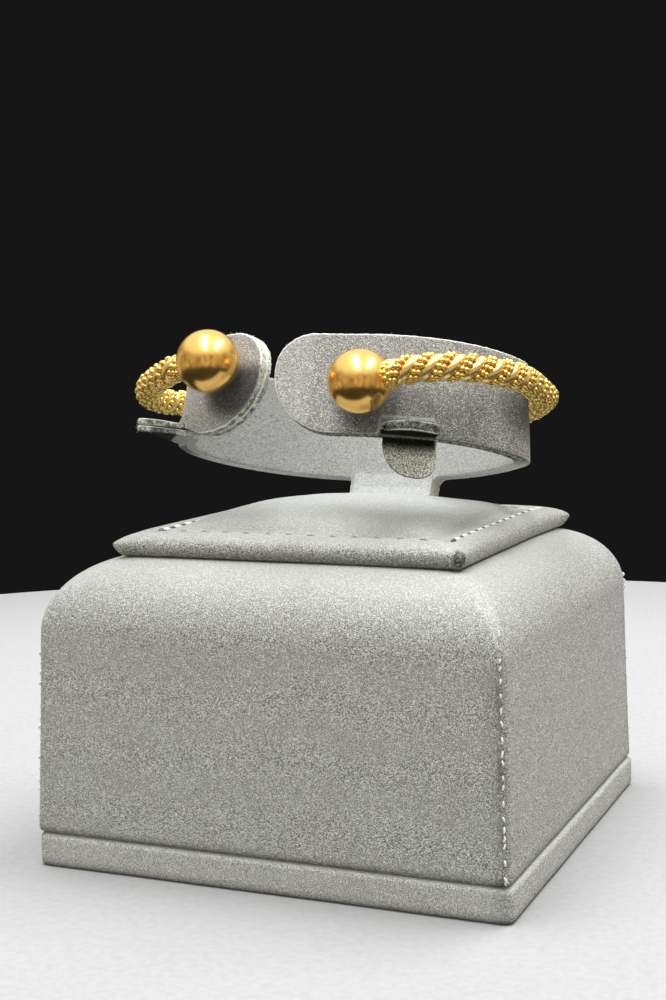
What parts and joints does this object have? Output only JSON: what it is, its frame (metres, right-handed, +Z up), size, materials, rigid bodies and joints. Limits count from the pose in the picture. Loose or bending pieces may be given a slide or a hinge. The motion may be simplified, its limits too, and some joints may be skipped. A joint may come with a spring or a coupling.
{
  "type": "open torque bangle on display stand",
  "caption": "Open twisted-rope bangle with polished ball ends, held on a leatherette display stand with a C-shaped collar, a padded top and a square block.",
  "frame": {"origin": "centre of the plinth's underside", "axes": "+Z up; the open side of the bangle and of the collar faces -Y, and +X is the viewer's right from there"},
  "size_m": [0.0809, 0.08, 0.0892],
  "materials": {
    "leatherette": "grey leatherette with a fine pearly grain, sewn with grey thread; cut edges show pale felted fibre",
    "gold": "yellow gold: mirror-polished balls and smooth wires, bright granulated strands with darker recesses"
  },
  "bodies": {
    "root": {"stand_plinth": "leatherette", "stand_block": "leatherette", "stand_pad": "leatherette", "collar_outer_layer": "leatherette", "collar_inner_layer": "leatherette", "bangle_rope": "gold", "ball_left": "gold", "ball_right": "gold"}
  },
  "joints": []
}
